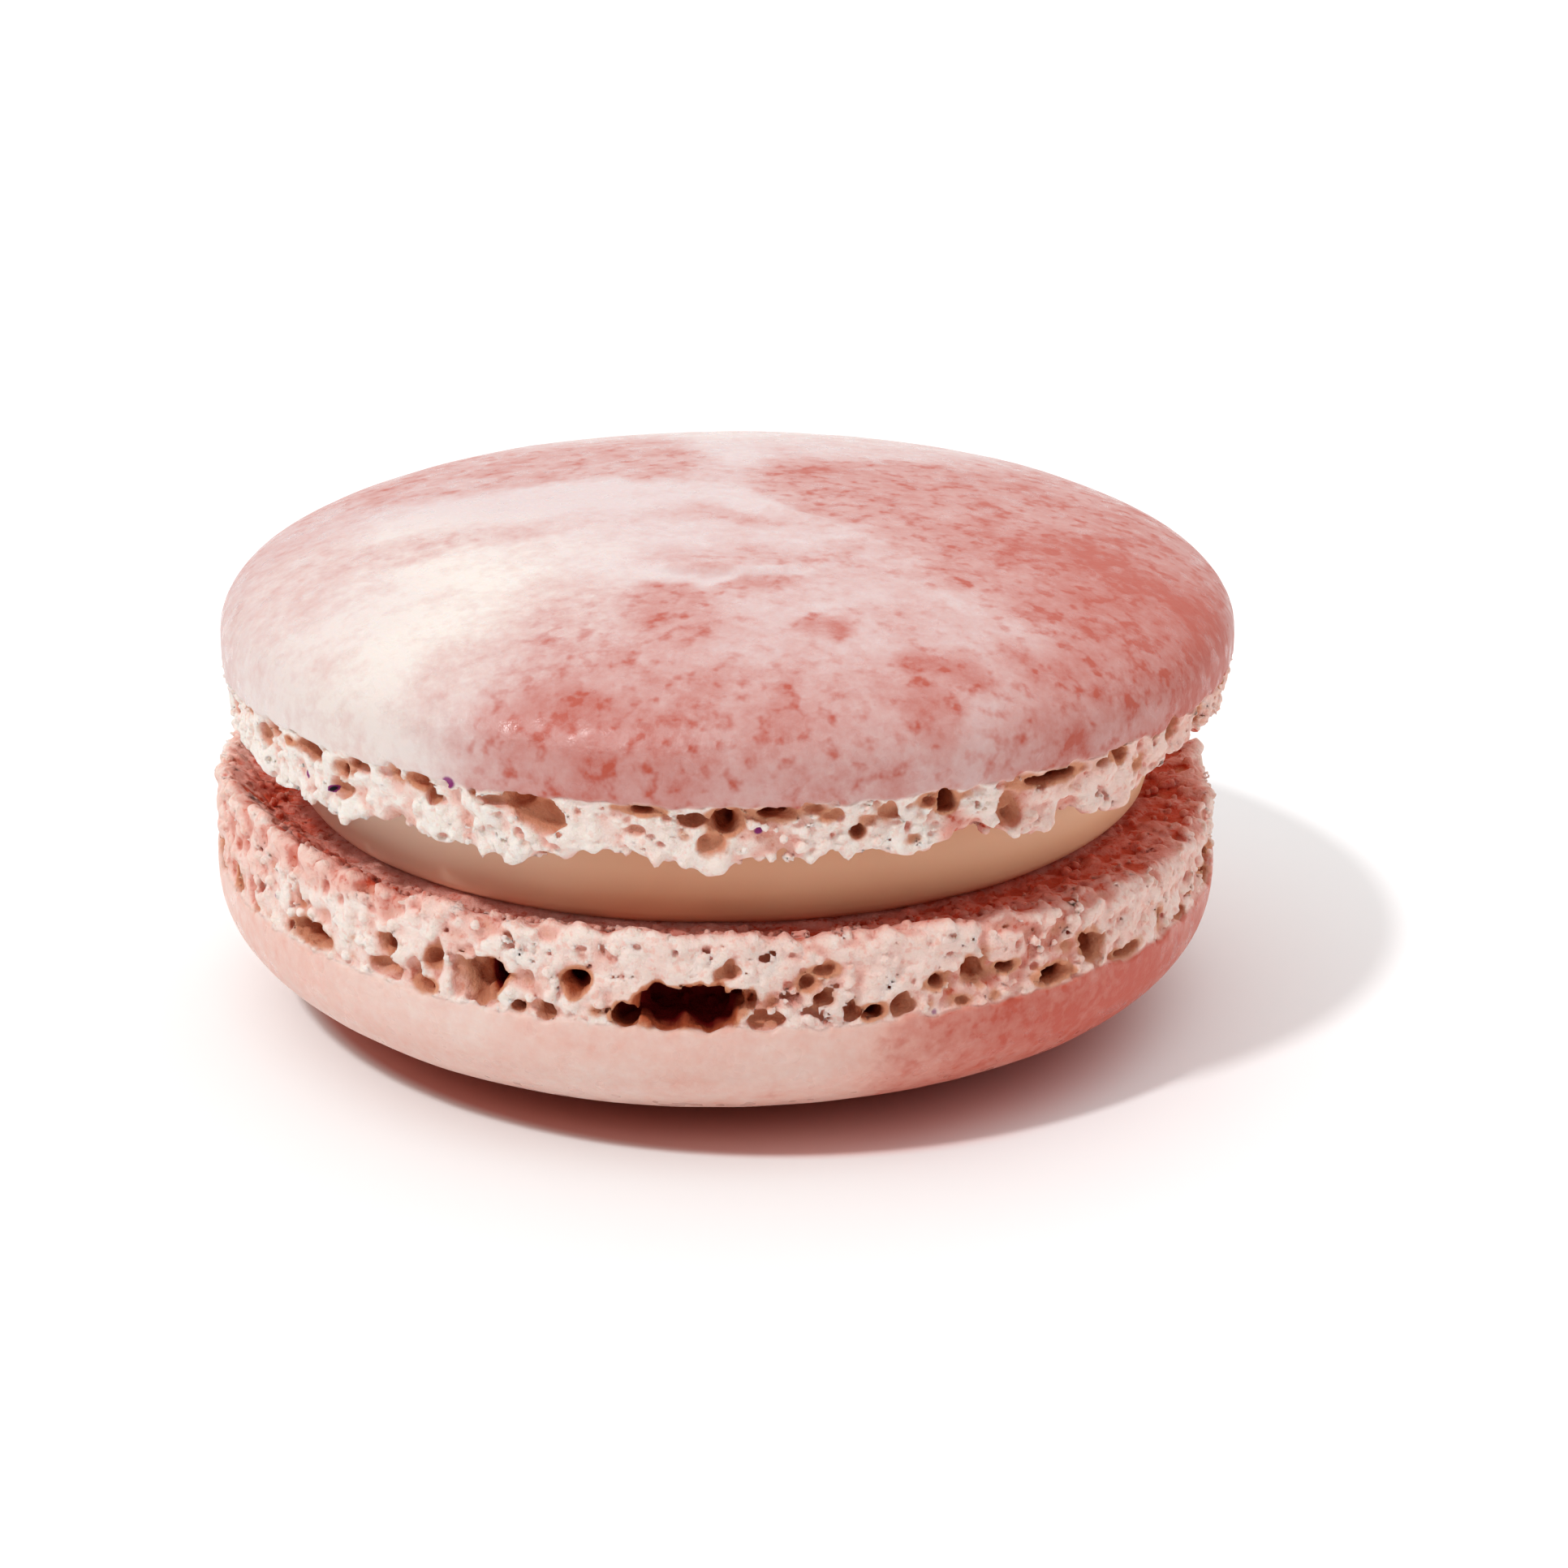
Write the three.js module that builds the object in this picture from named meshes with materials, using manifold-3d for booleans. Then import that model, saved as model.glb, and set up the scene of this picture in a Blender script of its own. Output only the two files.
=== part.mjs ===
// A French macaron in three.js: two baked almond shells with a disc of cream between them.
// Millimetres, +Z up. The origin is on the table, under the middle of the macaron.
// Each shell has a smooth domed crust and, below it, a crumbly foot with bubbles in it. The lower
// shell is the same thing upside down, resting on a small flat spot of its crust.

import * as THREE from "three";
import { mergeVertices } from "three/addons/utils/BufferGeometryUtils.js";
import Module from "manifold-3d";

const wasm = await Module();
wasm.setup();

// Driving dimensions. A shell's own frame has its crust upwards and z = 0 where it is widest.
const UPPER = {
  name: "top_shell",
  radius: 22.45, // at the widest level of the crust
  crown: 5.88, // height of the dome over that level
  roundness: [1.87, 2.36], // superellipse powers of the dome, along the radius and the height
  restHeight: Infinity, // this dome isn't flattened
  crustEdge: -0.75, // level where the smooth crust ends and the foot begins
  crustEdgeTilt: { by: 0.3, towards: -50 },
  foot: -3.83, // level of the foot's ragged rim
  footTilt: { by: 0.6, towards: -30 },
  // Where the rim reaches further down or has broken away: [angle, half width in degrees, rise].
  rimSteps: [
    [-145, 9, -0.3],
    [-112, 5, -0.5],
    [-101, 4, 0.35],
    [-91, 4, -0.45],
    [-64, 3, 0.55],
    [-57, 4, -0.5],
    [-41, 4, -0.45],
    [-29, 9, 0.7],
    [60, 6, -0.4],
    [95, 5, 0.4],
    [150, 7, -0.35],
  ],
  rimRadius: 21.75,
  dishRadius: 19.3, // inside it the underside is flat, and the cream sticks to it
  dishDepth: 0.85,
};
const LOWER = {
  name: "bottom_shell",
  radius: 22.5,
  crown: 6.37,
  roundness: [3.57, 2.39],
  restHeight: 6.2,
  crustEdge: -0.65,
  crustEdgeTilt: { by: -0.25, towards: 150 },
  foot: -4.4,
  footTilt: { by: 0.85, towards: 15 },
  rimSteps: [
    [153, 6, -0.3],
    [75, 24, -0.3],
    [28, 14, 0.3],
    [-40, 6, 0.4],
    [-95, 9, -0.4],
    [-160, 5, 0.4],
  ],
  rimRadius: 22.05,
  dishRadius: 19.0,
  dishDepth: 1.1,
};
const UPPER_LEVEL = 16.88; // height of the upper shell's widest level over the table
const SHIFT = 0.25; // the shells sit this far to either side of the middle
const CREAM = { name: "filling", radius: 18.75, bulge: 0.55, clearance: 0.2 };

const FOOT_SEGMENTS = 120; // points round the foot
const SMOOTH_SEGMENTS = 60; // points round the dome, the underside and the cream
const LEDGE_SHARES = [0.3, 0.65, 0.95]; // rows of the ledge between the cream and the rim
const WALL_ROWS = 6;
const DOME_ROWS = 8;
const CREAM_ROWS = 5;
const CRAG = 0.34; // how far the foot's crumbs stand out or sink in
const CRAG_SIZES = [1.9, 1.0]; // across the coarse and the fine crumbs
const LEDGE_CRAG = 0.55; // share of CRAG on the ledge, which is smoother than the wall
const RIM_SEED = 40; // any level away from the wall's, so that the rim has crags of its own
const RIM_BEVEL = 0.3; // height of the rim's rounded corner
const LIP = 0.12; // the crust's edge stands this far over the foot
const FOOT_INSET = 0.25; // the foot's wall starts this far inside the crust
const DENT = 0.05; // depth of the slow dents in the crust and the cream's side
const DENT_SIZE = 5; // across such a dent
const OUTLINE = 0.16; // how far the round outline strays from a circle

const { degToRad: radians, lerp } = THREE.MathUtils;

// A repeatable number from 0 to 1 for each whole-number place.
function chance(i, j = 0, k = 0) {
  const mixed = Math.sin(i * 127.1 + j * 311.7 + k * 74.7) * 43758.5453;
  return mixed - Math.floor(mixed);
}

// Smooth noise from -1 to 1, with lumps about one unit across.
function noise(x, y, z) {
  const [i, j, k] = [x, y, z].map(Math.floor);
  const [u, v, w] = [x - i, y - j, z - k].map((t) => t * t * (3 - 2 * t));
  const along = (b, c) =>
    lerp(chance(i, j + b, k + c), chance(i + 1, j + b, k + c), u);
  const level = (c) => lerp(along(0, c), along(1, c), v);
  return 2 * lerp(level(0), level(1), w) - 1;
}

function tilted(tilt, angle) {
  return tilt.by * Math.cos(angle - radians(tilt.towards));
}

// How far a bell of the given half width, in degrees, still counts at an angle.
function bell(angle, centre, halfWidth) {
  const away = Math.abs(angle / radians(1) - centre) % 360;
  return Math.exp(-0.7 * (Math.min(away, 360 - away) / halfWidth) ** 2);
}

// The slow wobble of a shell's outline: no baked shell is a true circle.
function outline(angle, seed) {
  const waves = [2, 3, 5];
  return waves.reduce(
    (sum, n) => sum + (OUTLINE / n) * 2 * Math.sin(n * angle + seed * n * 1.7),
    0,
  );
}

// One closed row of points round the axis. at(angle) gives its radius and height there.
function ring(segments, at) {
  return Array.from({ length: segments }, (_, i) => {
    const angle = (2 * Math.PI * i) / segments;
    const [r, z] = at(angle);
    return [r * Math.cos(angle), r * Math.sin(angle), z];
  });
}

// A closed solid through rings listed from its lowest middle, outwards and up, to its highest.
function solidThrough(rings) {
  const points = rings.flat();
  const faces = [];
  const starts = [];
  let count = 0;
  for (const row of rings) {
    starts.push(count);
    count += row.length;
  }
  for (let k = 0; k + 1 < rings.length; k++) {
    const [m, n] = [rings[k].length, rings[k + 1].length];
    const lower = (i) => starts[k] + (i % m);
    const upper = (i) => starts[k + 1] + (i % n);
    // Walks both rings at once, so that rings with different numbers of points join.
    for (let i = 0, j = 0; i < m || j < n; ) {
      if (j >= n || (i < m && (i + 1) / m <= (j + 1) / n)) {
        faces.push([lower(i), lower(i + 1), upper(j)]);
        i++;
      } else {
        faces.push([lower(i), upper(j + 1), upper(j)]);
        j++;
      }
    }
  }
  const last = rings.at(-1);
  const middleOf = (row) => {
    points.push([0, 0, row.reduce((sum, p) => sum + p[2], 0) / row.length]);
    return points.length - 1;
  };
  const bottom = middleOf(rings[0]);
  rings[0].forEach((_, i) =>
    faces.push([bottom, (i + 1) % rings[0].length, i]),
  );
  const top = middleOf(last);
  last.forEach((_, i) =>
    faces.push([
      top,
      starts.at(-1) + i,
      starts.at(-1) + ((i + 1) % last.length),
    ]),
  );
  const mesh = new wasm.Mesh({
    numProp: 3,
    vertProperties: Float32Array.from(points.flat()),
    triVerts: Uint32Array.from(faces.flat()),
  });
  return new wasm.Manifold(mesh);
}

// The shell without its bubbles.
function bareShell(shell, seed) {
  const { radius, crown, roundness, crustEdge, foot, rimRadius } = shell;
  const edgeLevel = (a) =>
    crustEdge + tilted(shell.crustEdgeTilt, a) + LIP * noise(5 * a, seed, 0);
  const rimLevel = (a) =>
    shell.rimSteps.reduce(
      (level, [centre, width, rise]) => level + rise * bell(a, centre, width),
      foot + tilted(shell.footTilt, a),
    );
  const dishLevel = foot + shell.dishDepth;
  const crag = (a, z) => {
    const [x, y] = [radius * Math.cos(a), radius * Math.sin(a)];
    const [coarse, fine] = CRAG_SIZES.map((size) =>
      noise(x / size + seed, y / size, (1.4 * z) / size),
    );
    return CRAG * (coarse + 0.6 * fine);
  };
  const rings = [];
  const smooth = (at) => rings.push(ring(SMOOTH_SEGMENTS, at));
  const rough = (at) => rings.push(ring(FOOT_SEGMENTS, at));

  smooth(() => [shell.dishRadius * 0.5, dishLevel]);
  smooth(() => [shell.dishRadius, dishLevel]);
  for (const share of LEDGE_SHARES) {
    rough((a) => {
      const r = lerp(shell.dishRadius, rimRadius, share);
      const z = lerp(dishLevel, rimLevel(a), share ** 1.4);
      return [
        r + outline(a, seed) * share,
        z + crag(a, r) * LEDGE_CRAG * share,
      ];
    });
  }
  for (let row = 0; row <= WALL_ROWS; row++) {
    const share = row / WALL_ROWS;
    const calm = row === WALL_ROWS ? 0.5 : 1;
    rough((a) => {
      const low = rimLevel(a) + RIM_BEVEL + crag(a, RIM_SEED);
      const z = lerp(low, edgeLevel(a) - LIP / 2, share);
      const r = lerp(rimRadius + RIM_BEVEL / 2, radius - FOOT_INSET, share);
      return [r + outline(a, seed) + crag(a, z) * calm, z];
    });
  }
  rough((a) => [radius - LIP / 3 + outline(a, seed), edgeLevel(a) + LIP]);
  for (let row = 0; row < DOME_ROWS; row++) {
    const turn = ((Math.PI / 2) * row) / (DOME_ROWS - 0.5);
    smooth((a) => {
      const r = radius * Math.cos(turn) ** (2 / roundness[0]);
      const z = crown * Math.sin(turn) ** (2 / roundness[1]);
      const share = r / radius;
      const [x, y] = [r * Math.cos(a), r * Math.sin(a)].map((v) => v / DENT_SIZE);
      const dent = DENT * noise(x + seed, y, z) * share;
      return [r + outline(a, seed) * share, Math.min(z + dent, shell.restHeight)];
    });
  }
  return solidThrough(rings);
}

// Bubbles that open in the foot's wall: [angle in degrees, depth under the crust's edge, width, height].
// The angle is seen from over the shell's own crust, which the lower shell has underneath. So the front
// of the upper shell is at -90 and the front of the lower one at 90.
const UPPER_BUBBLES = [
  [-140, 0.5, 2.4, 0.9],
  [-132, 0.4, 1.3, 0.6],
  [-122, 0.9, 0.8, 0.7],
  [-114, 0.7, 1.4, 0.6],
  [-108.5, 1.0, 2.1, 1.4],
  [-93, 0.7, 0.9, 0.5],
  [-89.5, 0.8, 1.0, 1.0],
  [-85, 0.4, 1.3, 0.5],
  [-76, 1.5, 0.6, 0.6],
  [-73, 0.7, 1.0, 0.9],
  [-68, 0.6, 1.0, 0.9],
  [-59, 1.4, 1.4, 0.9],
  [-54, 0.6, 2.6, 0.6],
  [-34, 0.5, 1.6, 1.0],
  [-26, 1.0, 1.1, 0.8],
];
const LOWER_BUBBLES = [
  [140, 0.7, 3.0, 1.0],
  [127, 0.6, 2.0, 1.0],
  [115.3, 1.1, 2.2, 2.0],
  [103.7, 1.7, 1.1, 1.0],
  [98.5, 0.5, 1.1, 0.9],
  [90.7, 0.9, 2.9, 1.7],
  [84, 0.4, 1.5, 0.8],
  [75, 0.6, 1.8, 0.8],
  [70, 0.7, 0.8, 0.8],
  [66, 1.4, 0.9, 0.7],
  [62, 1.5, 1.2, 1.1],
  [58.5, 1.3, 1.2, 0.6],
  [52, 0.5, 1.9, 0.7],
  [46, 1.3, 1.4, 1.5],
  [40, 0.3, 1.4, 0.5],
];
const BUBBLES_BEHIND = 14; // spread round the part of the foot that the lists leave free
const FINE_BUBBLE = 1.15; // a bubble no wider than this gets the fewest faces

// The listed bubbles and, evenly round the rest of the foot, more of the same kind.
function allBubbles(listed, seed) {
  const angles = listed.map(([angle]) => angle);
  const [first, last] = [Math.min(...angles), Math.max(...angles)];
  const free = 360 - (last - first);
  const more = Array.from({ length: BUBBLES_BEHIND }, (_, i) => {
    const across = 0.8 + 1.9 * chance(i, seed, 3) ** 2;
    return [
      last + (free * (i + 0.6 + 0.5 * chance(i, seed, 1))) / (BUBBLES_BEHIND + 1),
      0.4 + 0.9 * chance(i, seed, 2),
      across,
      across * (0.45 + 0.35 * chance(i, seed, 4)),
    ];
  });
  return [...listed, ...more];
}

// Turns a three.js geometry into a solid for joining and cutting.
function solidOf(geometry) {
  geometry.deleteAttribute("normal");
  geometry.deleteAttribute("uv");
  const merged = mergeVertices(geometry, 1e-4);
  return new wasm.Manifold(
    new wasm.Mesh({
      numProp: 3,
      vertProperties: merged.attributes.position.array,
      triVerts: Uint32Array.from(merged.index.array),
    }),
  );
}

// A lumpy bubble, centred just inside the foot's wall.
function bubble(shell, [degrees, under, width, height], seed) {
  const angle = radians(degrees);
  const level = shell.crustEdge + tilted(shell.crustEdgeTilt, angle) - under;
  const depth = 0.8 + 0.6 * (width + height);
  const geometry = new THREE.IcosahedronGeometry(0.5, width > FINE_BUBBLE ? 1 : 0);
  const place = geometry.attributes.position;
  for (let i = 0; i < place.count; i++) {
    const [x, y, z] = [place.getX(i), place.getY(i), place.getZ(i)];
    const swell = 1.12 + 0.22 * noise(x * 4 + degrees, y * 4, z * 4 + seed);
    place.setXYZ(i, x * swell, y * swell, z * swell);
  }
  geometry.scale(depth, width, height);
  geometry.rotateZ(angle);
  const r = shell.radius - FOOT_INSET + outline(angle, seed) - 0.08 * depth;
  geometry.translate(r * Math.cos(angle), r * Math.sin(angle), level);
  return solidOf(geometry);
}

// The largest body of a solid: loose crumbs that a cut leaves behind are dropped.
function largest(solid) {
  return solid
    .decompose()
    .reduce((best, body) => (body.volume() > best.volume() ? body : best));
}

function meshOf(solid, name, material) {
  const { vertProperties, triVerts } = solid.getMesh();
  const geometry = new THREE.BufferGeometry()
    .setAttribute("position", new THREE.BufferAttribute(vertProperties, 3))
    .setIndex(new THREE.BufferAttribute(triVerts, 1));
  geometry.computeVertexNormals();
  const mesh = new THREE.Mesh(geometry, material);
  mesh.name = name;
  return mesh;
}

function shellMesh(shell, listed, seed, material) {
  const body = allBubbles(listed, seed).reduce(
    (rest, one) => rest.subtract(bubble(shell, one, seed)),
    bareShell(shell, seed),
  );
  return meshOf(largest(body), shell.name, material);
}

// A low disc between two levels, with a softly bulging side that is fullest above its middle.
function creamMesh(low, high, material) {
  const flat = (level) => ring(SMOOTH_SEGMENTS, () => [CREAM.radius / 2, level]);
  const side = Array.from({ length: CREAM_ROWS + 1 }, (_, row) => {
    const share = row / CREAM_ROWS;
    const swell = CREAM.bulge * Math.sin(0.8 * Math.PI * share);
    return ring(SMOOTH_SEGMENTS, (a) => [
      CREAM.radius + swell + DENT * noise(3 * Math.cos(a), 3 * Math.sin(a), share),
      lerp(low, high, share),
    ]);
  });
  const rings = [flat(low), ...side, flat(high)];
  return meshOf(solidThrough(rings), CREAM.name, material);
}

const baked = (colour) =>
  new THREE.MeshStandardMaterial({ color: colour, roughness: 0.7, metalness: 0 });

const upper = shellMesh(UPPER, UPPER_BUBBLES, 1, baked(0xdda8a2));
upper.position.set(SHIFT, 0, UPPER_LEVEL);

const lower = shellMesh(LOWER, LOWER_BUBBLES, 2, baked(0xdfaea6));
lower.rotation.x = Math.PI;
lower.position.set(-SHIFT, 0, LOWER.restHeight);

const creamLow = LOWER.restHeight - LOWER.foot - LOWER.dishDepth + CREAM.clearance;
const creamHigh = UPPER_LEVEL + UPPER.foot + UPPER.dishDepth - CREAM.clearance;
const cream = creamMesh(
  creamLow,
  creamHigh,
  new THREE.MeshStandardMaterial({ color: 0xc29a78, roughness: 0.45, metalness: 0 }),
);

const macaron = new THREE.Group();
macaron.add(upper, cream, lower);

export default macaron;
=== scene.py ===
# The looks of a French macaron: two baked almond shells with a disc of cream between them.
# Each shell is one mesh. Its dome is rings of points, and its crumbly foot is cut from a field in
# which bubbles and crumbs are spread by seeded draws. Lengths are in millimetres up to the point
# where a mesh is made, and the lists give angles in degrees.

import math

import bpy
import mathutils
import numpy as np
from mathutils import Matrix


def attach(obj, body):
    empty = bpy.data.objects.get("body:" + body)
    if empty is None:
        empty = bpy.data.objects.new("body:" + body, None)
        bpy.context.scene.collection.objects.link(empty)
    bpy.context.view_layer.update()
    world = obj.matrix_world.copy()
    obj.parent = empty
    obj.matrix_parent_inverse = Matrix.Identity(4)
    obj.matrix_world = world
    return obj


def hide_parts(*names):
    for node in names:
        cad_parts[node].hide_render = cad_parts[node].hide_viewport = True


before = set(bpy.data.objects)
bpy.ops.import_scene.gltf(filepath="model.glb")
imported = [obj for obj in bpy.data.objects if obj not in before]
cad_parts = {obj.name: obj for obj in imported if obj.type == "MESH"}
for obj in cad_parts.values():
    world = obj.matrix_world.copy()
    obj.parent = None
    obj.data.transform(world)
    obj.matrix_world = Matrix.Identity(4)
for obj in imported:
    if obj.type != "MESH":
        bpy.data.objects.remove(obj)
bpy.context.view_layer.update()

MM = 0.001

# Driving dimensions, the same as the solids have. A shell's own frame has its crust upwards and
# z = 0 where it is widest.
UPPER = {
    "radius": 22.42,
    "crown": 5.79,
    "roundness": (1.87, 2.36),
    "rest_height": math.inf,
    "crust_edge": -0.9,
    "crust_edge_tilt": (0.22, -25),
    "foot": -3.83,
    "foot_tilt": (0.6, -30),
    "rim_steps": [
        (-145, 9, -0.3),
        (-112, 5, -0.5),
        (-101, 4, 0.35),
        (-91, 4, -0.45),
        (-64, 3, 0.55),
        (-57, 4, -0.5),
        (-41, 4, -0.45),
        (-29, 9, 0.7),
        (60, 6, -0.4),
        (95, 5, 0.4),
        (150, 7, -0.35),
    ],
    "rim_radius": 21.75,
    "dish_radius": 19.3,
    "dish_depth": 0.85,
    "spine_level": -1.3,
    "strand": 1.7,  # how much taller than wide the lumps of its foam are
    "pit_level": 0.82,  # small pits open where their noise is above this
    "pit_depth": 0.5,  # and close this far under the surface
    "seed": 1,
}
LOWER = {
    "radius": 22.465,
    "crown": 6.37,
    "roundness": (3.57, 2.39),
    "rest_height": 6.2,
    "crust_edge": -0.22,
    "crust_edge_tilt": (-0.25, 150),
    "foot": -4.4,
    "foot_tilt": (0.85, 15),
    "rim_steps": [
        (180, 12, 0.5),
        (153, 6, -0.3),
        (75, 24, -0.3),
        (28, 14, 0.3),
        (-40, 6, 0.4),
        (-95, 9, -0.4),
        (-160, 5, 0.4),
    ],
    "rim_radius": 22.05,
    "dish_radius": 19.0,
    "dish_depth": 1.1,
    "spine_level": -1.6,
    "strand": 1.1,
    "pit_level": 0.42,
    "pit_depth": 0.8,
    "seed": 2,
}
UPPER_LEVEL = 16.88  # height of the upper shell's widest ring over the table
SHIFT = 0.25  # the upper shell lies this far to the right and the lower one to the left
OUTLINE = 0.16  # size of the slow wobble of a shell's outline
OUTLINE_WAVES = (2, 3, 5)
OUTLINE_TURN = 1.7
STEP_SHARPNESS = 0.7  # of the steps in a rim

# Bubbles that open in the foot's wall: angle, depth under the crust's edge, width, height, how far
# they reach in, and how much shade is painted inside them from 0 to 1.
UPPER_BUBBLES = [
    (-140, 0.45, 2, 0.8, 1.2, 0.2),
    (-132, 0.4, 1.3, 0.5, 0.7, 0.1),
    (-128, 0.4, 0.8, 0.5, 0.5, 0),
    (-122, 0.9, 0.6, 0.65, 0.9, 0.2),
    (-124, 0.35, 0.45, 0.5, 0.6, 0.1),
    (-114, 0.6, 1.5, 0.4, 0.5, 0.1),
    (-108.5, 0.95, 2, 1.35, 1, 0.15),
    (-98, 0.3, 1.2, 0.35, 0.7, 0.6),
    (-93, 0.7, 1, 0.5, 0.8, 0.2),
    (-89.3, 0.8, 1.05, 1, 1.5, 0.5),
    (-84.5, 0.4, 1.5, 0.5, 1.2, 0.4),
    (-81, 0.3, 0.8, 0.45, 0.8, 0.3),
    (-76, 1.4, 0.6, 0.6, 1, 0.3),
    (-73, 0.6, 0.9, 0.8, 1, 0.2),
    (-67, 0.55, 0.85, 0.75, 1.6, 0.7),
    (-59.5, 1.3, 1.3, 0.9, 0.8, 0),
    (-54, 0.45, 2.4, 0.5, 1.3, 0.5),
    (-47, 0.5, 1.2, 0.5, 0.9, 0.3),
    (-34, 0.5, 1.4, 0.9, 1, 0.2),
    (-26, 0.9, 0.9, 0.8, 1, 0.3),
]
LOWER_BUBBLES = [
    (140, 0.7, 2.9, 0.95, 1.2, 0.3),
    (127, 0.6, 1.9, 0.8, 0.7, 0),
    (123, 0.9, 0.7, 0.9, 0.5, 0),
    (120.5, 1.5, 0.7, 0.6, 0.8, 0.3),
    (115.3, 1.05, 2.1, 2, 1.5, 0),
    (113.4, 1.1, 0.9, 0.9, 2.6, 1),
    (110.3, 0.3, 0.6, 0.5, 0.8, 0.2),
    (107, 0.3, 0.7, 0.7, 0.8, 0.1),
    (103.9, 1.7, 1, 0.9, 1.6, 0.8),
    (98.5, 0.45, 1.1, 0.9, 1.5, 0.8),
    (94.2, 0.95, 2.3, 1.7, 2.8, 1),
    (90.3, 0.85, 2.2, 1.75, 2.8, 1),
    (86.6, 1.1, 1, 1, 1.4, 0.5),
    (84.3, 0.4, 1.7, 0.8, 0.9, 0.1),
    (88, 2.4, 0.9, 0.6, 0.7, 0.2),
    (80, 1.9, 0.7, 0.5, 0.8, 0.4),
    (78, 1.1, 0.7, 0.6, 0.8, 0.3),
    (75.5, 0.5, 0.9, 0.9, 0.9, 0.1),
    (73, 0.45, 0.9, 0.7, 1.3, 0.7),
    (70, 0.6, 0.9, 0.8, 1, 0.2),
    (66, 1.4, 0.9, 0.7, 1.3, 0.5),
    (61.5, 1.6, 1.2, 1.2, 1, 0.3),
    (58, 1.4, 1, 0.5, 1, 0.5),
    (52, 0.6, 1.7, 0.6, 1.3, 0.7),
    (46, 1.3, 1.2, 1.5, 1.4, 0.4),
    (40, 0.35, 1.4, 0.5, 0.9, 0.4),
    (33, 0.9, 0.6, 0.9, 0.9, 0.4),
]

# The grid of the foot: steps round the axis, rows along its section and layers into it.
STEPS_ROUND = 1024
DISH_ROWS = 5
LEDGE_ROWS = 20
WALL_ROWS = 30
CRUST_ROWS = 9
FIELD_START = 17.7  # radius at which the field begins, hidden under the cream
CRUST_TOP = 0.5  # level at which the field ends and the smooth dome begins
SPINE_RADIUS = 18.6  # the layers spread from a ring inside the foot
INNER_LAYER = 0.3  # first and last layer, as shares of the way from spine to surface
OUTER_LAYER = 1.14
LAYER_STEP = 0.034
CORNER = 0.3  # roundness of the rim
LEDGE_CURVE = 1.4  # how the ledge rises to the rim
SMOOTHINGS = 3

EDGE_NOISE = [(2.2, 0.1), (0.9, 0.12), (0.4, 0.08)]  # size and height of the crust's ragged edge
RIM_NOISE = [(1.5, 0.16), (0.6, 0.16)]  # the same for the rim's teeth
INSET = 0.17  # the foot lies this far inside the crust that stands over it
CRUMB_NOISE = [(2.6, 0.09), (1.0, 0.15), (0.5, 0.2)]  # lump size and height
RIM_ROUGHNESS = 0.9  # how much more the rim is lumped than the wall
RAGGED_NOISE = [(0.8, 0.42), (0.35, 0.34)]  # the same for a bubble's outline, as shares of its size
PIT_NOISE = [(0.8, 1.0), (0.42, 0.7)]  # the same for the small pits between the strands of foam
PIT_SLOPE = 0.35
PIT_MIDDLE = 0.7  # share of the wall's height at which most pits are
PIT_SPREAD = 0.25  # how much fewer there are away from it
PIT_START = 0.05  # share of the height at which they begin
RIM_ROWS = 4  # rows next to the rim that are roughened more
FADE_ROWS = 4  # rows next to the cream where the roughness begins
LINE_NOISE = (0.8, 0.1)  # size and height of the ragged line between crust and foot
LINE_SOFTNESS = 0.2
HOLLOW_SHADE_REACH = (0.25, 0.2)  # how far beyond its wall a bubble's painted shade reaches, and how softly

# Round crumbs and small pores on the foot: their number, size, and how deep they lie in it.
CRUMB_COUNT = 1800
CRUMB_SIZE = (0.1, 0.26)
CRUMB_SUNK = (-0.05, 0.12)
PORE_COUNT = 1300
PORE_SIZE = (0.06, 0.2)
PORE_SUNK = (-0.08, 0.06)
PORE_WIDTH = (0.8, 1.7)
PORE_REACH = 1.2
PORE_HEIGHT = (0.8, 1.3)
PORE_RAGGED = 0.8

# Bubbles beyond the listed ones. Height and reach are shares of the width.
BUBBLE_COUNT = 150
BUBBLE_UNDER = (0.3, 2.5)
BUBBLE_WIDTH = (0.45, 2.35)
BUBBLE_HEIGHT = (0.45, 0.9)
BUBBLE_REACH = (0.5, 0.9)
# range of the shade painted inside them, less for bubbles under a millimetre wide
BUBBLE_HOLLOW_SHADE = (0, 0.7)
HIGHEST_BUBBLE = 1.6
SHARE_AMONG_LISTED = 0.5  # of their size
MARGINS = (16, 12)  # degrees on both sides of the listed bubbles
BUBBLE_RAGGED = 1.1
BUBBLE_HALF = 0.55  # half, and what the ragged outline takes away

NEAR_SHARE, NEAR_MARGIN = 1.6, 0.3  # how far round a bubble the field is changed
SHUT = 0.05  # the field at its closed ends

# Seeds of the noises, one for each use.
EDGE_SEED = 11
LINE_SEED = 12
RIM_SEED = 15
DENT_SEED = 31
CREAM_SEED = 41
UPPER_STRAY_SEED = 51
LOWER_STRAY_SEED = 61
RELIEF_STRAY_SEED = 71
SHELL_SEEDS = 10  # each shell has this many of its own
RAGGED_SEED = 3
PIT_SEED = 6

# Odd factors and shifts that turn whole numbers into even chance.
PLACE_FACTORS = (374761393, 668265263, 1440662683)
SEED_FACTOR = 2246822519
MIXES = ((15, 2654435761), (13, 3266489917))
LAST_SHIFT = 16


def lattice(i, j, k, seed):
    """A repeatable number from -1 to 1 for each whole-number place."""
    mixed = np.uint32(seed * SEED_FACTOR % 2**32)
    for number, factor in zip((i, j, k), PLACE_FACTORS):
        mixed = mixed + number.astype(np.uint32) * np.uint32(factor)
    for shift, factor in MIXES:
        mixed ^= mixed >> np.uint32(shift)
        mixed *= np.uint32(factor)
    mixed ^= mixed >> np.uint32(LAST_SHIFT)
    return mixed.astype(np.float32) / np.float32(2**31) - 1


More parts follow.
